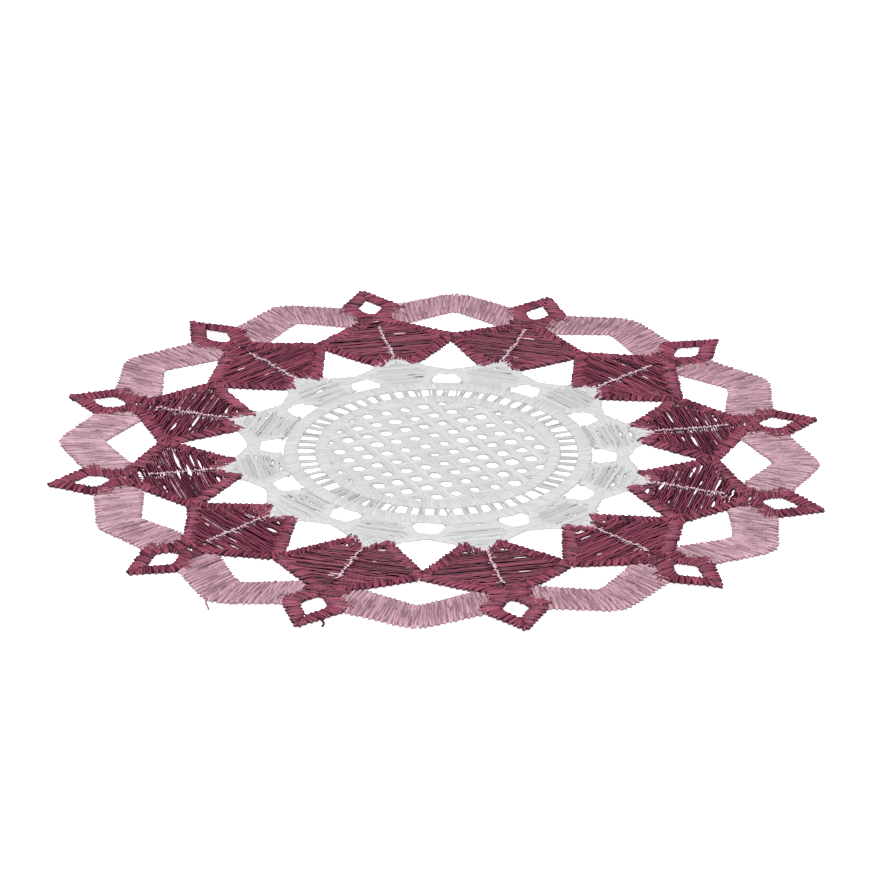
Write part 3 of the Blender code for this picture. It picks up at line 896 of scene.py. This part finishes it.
# Column and row of the holes that the stitches at the net's rim nearly close.
SMALL_HOLES = ((3, 5), (4, 4), (5, 3), (-3, 4), (-4, 3), (-5, 1), (-5, 0), (-5, -1), (-3, -4),
               (-1, -5), (0, -5), (3, -4), (5, -2))


class OBJECT_OT_doily_net(DoilyPieceOperator, bpy.types.Operator):
    """White net: bars of four threads, crossing on a slightly skewed grid"""
    bl_idname = "object.doily_net"
    bl_label = "Net"

    def execute(self, context):
        draw = chance(8)
        axes = [np.array([math.cos(math.radians(turn)), math.sin(math.radians(turn))]) * pitch
                for turn, pitch in zip(NET_TURN_DEG, NET_PITCH)]
        origin = np.array(NET_ORIGIN)
        table = (2 * MIDDLE_HOLE, 2 * MIDDLE_HOLE)
        self.shift = HOLE_SHIFT * draw.normal(size=table + (2,))
        self.swell = HOLE_SWELL * draw.normal(size=table)
        for column, row in SMALL_HOLES:
            self.swell[column + MIDDLE_HOLE, row + MIDDLE_HOLE] = SMALL_SWELL
        strands = []
        for layer, (ahead, beside) in enumerate((axes, axes[::-1])):
            for bar in NET_BARS:
                for place in NET_THREADS:
                    strands.append(self.net_thread(origin, ahead, beside, bar, place, layer, draw))
        strands = [strand for strand in strands if strand]
        piece = thread_piece("net", strands, [white_thread()])
        return {"FINISHED"}

    def net_thread(self, origin, ahead, beside, bar, place, layer, draw):
        """A thread beside a bar's middle line, spread where it passes a crossing.

        Its place across the bar is multiplied by one plus a part of a cosine that peaks
        at the crossings. A cosine half as fast carries it over and under. The outer
        threads of a bar lie lower and are thinner, and are painted darker as painted
        shade round the holes, so each bar's middle stays lighter.
        """
        cells = NET_CELLS
        spread = place * (1 + NET_SPREAD * np.cos(2 * np.pi * (cells - 0.5)))
        spread = spread + NET_DRIFT * draw.normal() + NET_DRIFT * draw.normal(size=len(cells))
        flat = origin + ahead * cells[:, None] + beside * (bar + spread)[:, None]
        flat = self.uneven(flat, cells, bar + spread, layer, origin, ahead, beside)
        inside = np.hypot(flat[:, 0], flat[:, 1]) < NET_EDGE
        if inside.sum() < 3:
            return None
        flat = flat[inside]
        weave = NET_WEAVE * np.cos(np.pi * cells[inside] + np.pi * bar + np.pi * layer)
        height = NET_LEVEL - 0.3 * abs(place) + NET_WEAVE * layer + weave
        paths = np.concatenate([flat, height[:, None]], axis=-1)[None]
        # painted shade: the outer threads of a bar are darker, toward the holes' rims
        tone = draw.uniform(0.7, 1.2) - 2.0 * abs(place)
        return bundle(paths, 0.63 - 0.8 * abs(place), 0.27, tone, crown=0.0)

    def uneven(self, flat, cells, rows, layer, origin, ahead, beside):
        """Each hole moved and swollen by its own amount, fading by a Gaussian from its middle."""
        column, row = np.round(cells).astype(int), np.round(rows).astype(int)
        heart = origin + ahead * column[:, None] + beside * row[:, None]
        hole = (column, row) if layer == 0 else (row, column)
        first, second = hole[0] + MIDDLE_HOLE, hole[1] + MIDDLE_HOLE
        away = flat - heart
        near = np.exp(-(away ** 2).sum(axis=1) / HOLE_REACH ** 2)[:, None]
        return flat + near * (self.shift[first, second] + self.swell[first, second][:, None] * away)


# Axis, half thickness and (across, out, height) points of each: pink, plum and pale pink.
LOOSE_ENDS = (
    (PEAKS[7], 0.24, ((1.2, 84.6, 0.6), (1.0, 86.3, 0.5), (0.4, 87.4, 0.5), (-0.8, 88.2, 0.35),
                      (-1.8, 89.3, 0.35))),
    (TIPS[7], 0.27, ((-3.2, 84.6, 0.6), (-4.4, 85.6, 0.5), (-4.9, 86.5, 0.35),
                     (-4.8, 87.5, 0.35))),
    (PEAKS[6], 0.16, ((0.4, 63.2, 0.6), (0.9, 64.5, 0.4), (-0.4, 65.0, 0.35), (-1.4, 64.2, 0.5),
                      (-0.8, 63.0, 0.7))),
)


def loose_thread(direction, half, points, draw):
    """A strand along a few points, smoothed by three rounds of cutting its corners."""
    line = np.array(points)
    line[:, :2] = to_flat(line[None, :, :2], np.array([direction]))[0]
    for _ in range(3):
        cut = np.empty((2 * len(line) - 2, 3))
        cut[0::2] = line[:-1] * 0.75 + line[1:] * 0.25
        cut[1::2] = line[:-1] * 0.25 + line[1:] * 0.75
        line = np.concatenate([line[:1], cut, line[-1:]])
    return bundle(line[None], half, half, draw.random())


class OBJECT_OT_doily_loose_ends(DoilyPieceOperator, bpy.types.Operator):
    """Thread ends that were left long"""
    bl_idname = "object.doily_loose_ends"
    bl_label = "Loose ends"

    def execute(self, context):
        draw = chance(10)
        strands = [loose_thread(*loose_end, draw) for loose_end in LOOSE_ENDS]
        piece = thread_piece("loose_ends", strands,
                             [pink_thread(), plum_thread(), pale_thread()], [0, 1, 2])
        return {"FINISHED"}


class OBJECT_OT_doily_ground(DoilyPieceOperator, bpy.types.Operator):
    """Cores of the borders and the under-threads of the fields, which make it one cloth"""
    bl_idname = "object.doily_ground"
    bl_label = "Ground"

    def execute(self, context):
        draw = chance(9)
        around = np.linspace(0.0, 360.0, RING_POINTS)
        white, plum, pink = range(3)
        strands, zones = [], []

        def add(zone, *some):
            strands.extend(some)
            zones.extend([zone] * len(some))

        for flip in (list, mirrored):
            add(plum, padding(flip(LEAF_OUTER), flip(LEAF_INNER), TIPS, PLUM_TOP),
                padding(flip(PICOT_OUTER), flip(PICOT_INNER), TIPS, PLUM_TOP))
            add(pink, padding(flip(BAND_OUTER), flip(BAND_INNER), PEAKS, PINK_TOP))
            add(white, padding(flip(PETAL_OUTER), flip(PETAL_INNER), TIPS, WHITE_TOP))
        for inner, outer in ring_edges(around):
            add(white, padding(polar(outer, around), polar(inner, around), WHOLE, WHITE_TOP))
        for side in (-1, 1):
            add(plum, laid(*leaf_lines(side, 0.5), TIPS, draw, 0.30, 0.30, 0.15, steps=7,
                           gaps=leaf_slits()))
        add(white, laid(*petal_lines(0.5), TIPS, draw, 0.24, 0.29, 0.13, steps=14,
                        gaps=petal_slits()))
        # plum and pink cores are darker than their threads, as painted shade in the gaps; the white
        # core is lighter than its thread, as painted light in the gaps
        cores = [core_thread("white_under_thread_painted_light", "#C6C6C6"),
                 core_thread("plum_under_thread_painted_shade", "#380B1C"),
                 core_thread("pink_under_thread_painted_shade", "#8B636F")]
        piece = thread_piece("ground", strands, cores, zones)
        return {"FINISHED"}


CAMERA_TARGET = (0.15, 3.4, 1.3)      # millimetres
# Name, place in metres, power in watts, size in metres.
STUDIO_LIGHTS = (("overhead", (-0.05, -0.25, 1.28), 27.0, 0.6),)
STUDIO_GLOW = 0.24                    # soft light from all round
FLOOR_GLOW = 0.9                      # keeps the table white, with no cast shadow to see
FLOOR_REACH = 3.0                     # metres


class OBJECT_OT_doily_stage(bpy.types.Operator):
    """Plain pale floor, soft studio light and the camera"""
    bl_idname = "object.doily_stage"
    bl_label = "Stage"

    def execute(self, context):
        settings = context.scene.doily_stage
        self.floor(settings)
        self.lights()
        self.camera(settings)
        context.scene.view_settings.view_transform = "Standard"
        return {"FINISHED"}

    def floor(self, settings):
        mesh = bpy.data.meshes.new("floor")
        corners = [(FLOOR_REACH * x, FLOOR_REACH * y, 0)
                   for x, y in ((-1, -1), (1, -1), (1, 1), (-1, 1))]
        mesh.from_pydata(corners, [], [(0, 1, 2, 3)])
        material = bpy.data.materials.new("matt_white_table")
        material.use_nodes = True
        shader = material.node_tree.nodes["Principled BSDF"]
        shader.inputs["Base Color"].default_value = tuple(settings.floor_colour) + (1.0,)
        shader.inputs["Roughness"].default_value = 0.9
        shader.inputs["Specular IOR Level"].default_value = 0.0
        shader.inputs["Emission Color"].default_value = (1.0, 1.0, 1.0, 1.0)
        shader.inputs["Emission Strength"].default_value = FLOOR_GLOW
        mesh.materials.append(material)
        floor = bpy.data.objects.new("floor", mesh)
        bpy.context.scene.collection.objects.link(floor)

    def lights(self):
        world = bpy.data.worlds.new("studio")
        world.use_nodes = True
        background = world.node_tree.nodes["Background"]
        background.inputs["Color"].default_value = (1.0, 1.0, 1.0, 1.0)
        background.inputs["Strength"].default_value = STUDIO_GLOW
        bpy.context.scene.world = world
        for name, place, power, size in STUDIO_LIGHTS:
            lamp = bpy.data.lights.new(name, "AREA")
            lamp.energy = power
            lamp.size = size
            lit = bpy.data.objects.new(name, lamp)
            lit.location = place
            lit.rotation_euler = (-Vector(place)).to_track_quat("-Z", "Y").to_euler()
            bpy.context.scene.collection.objects.link(lit)

    def camera(self, settings):
        rise, roll = settings.elevation, settings.roll
        back = Vector((0.0, -math.cos(rise), math.sin(rise)))
        right, up = Vector((1.0, 0.0, 0.0)), Vector((0.0, math.sin(rise), math.cos(rise)))
        right, up = (right * math.cos(roll) + up * math.sin(roll),
                     up * math.cos(roll) - right * math.sin(roll))
        data = bpy.data.cameras.new("camera")
        data.lens = settings.lens
        data.sensor_width = 36.0
        data.clip_start = 0.05
        camera = bpy.data.objects.new("camera", data)
        turn = Matrix((right, up, back)).transposed().to_4x4()
        place = Vector(CAMERA_TARGET) * MM + back * settings.distance
        camera.matrix_world = Matrix.Translation(place) @ turn
        bpy.context.scene.collection.objects.link(camera)
        bpy.context.scene.camera = camera


class VIEW3D_PT_doily(bpy.types.Panel):
    """Lists the doily's settings and pieces"""
    bl_idname = "VIEW3D_PT_doily"
    bl_label = "Lace doily"
    bl_space_type = "VIEW_3D"
    bl_region_type = "UI"
    bl_category = "Doily"

    def draw(self, context):
        for group in (context.scene.doily_threads, context.scene.doily_stage):
            box = self.layout.box()
            for name in group.bl_rna.properties.keys():
                if name not in {"rna_type", "name"}:
                    box.prop(group, name)
        for operator in OPERATORS:
            self.layout.operator(operator.bl_idname)


OPERATORS = (
    OBJECT_OT_doily_leaves,
    OBJECT_OT_doily_leaf_fields,
    OBJECT_OT_doily_midribs,
    OBJECT_OT_doily_picots,
    OBJECT_OT_doily_band,
    OBJECT_OT_doily_petals,
    OBJECT_OT_doily_rings,
    OBJECT_OT_doily_net,
    OBJECT_OT_doily_loose_ends,
    OBJECT_OT_doily_ground,
    OBJECT_OT_doily_stage,
)
CLASSES = (DoilyThreadSettings, DoilyStageSettings) + OPERATORS + (VIEW3D_PT_doily,)


def register():
    for item in CLASSES:
        bpy.utils.register_class(item)
    bpy.types.Scene.doily_threads = PointerProperty(type=DoilyThreadSettings)
    bpy.types.Scene.doily_stage = PointerProperty(type=DoilyStageSettings)


def unregister():
    del bpy.types.Scene.doily_stage
    del bpy.types.Scene.doily_threads
    for item in reversed(CLASSES):
        bpy.utils.unregister_class(item)


def main():
    register()
    for operator in OPERATORS:
        group, name = operator.bl_idname.split(".")
        getattr(getattr(bpy.ops, group), name)()


if __name__ == "__main__":
    main()
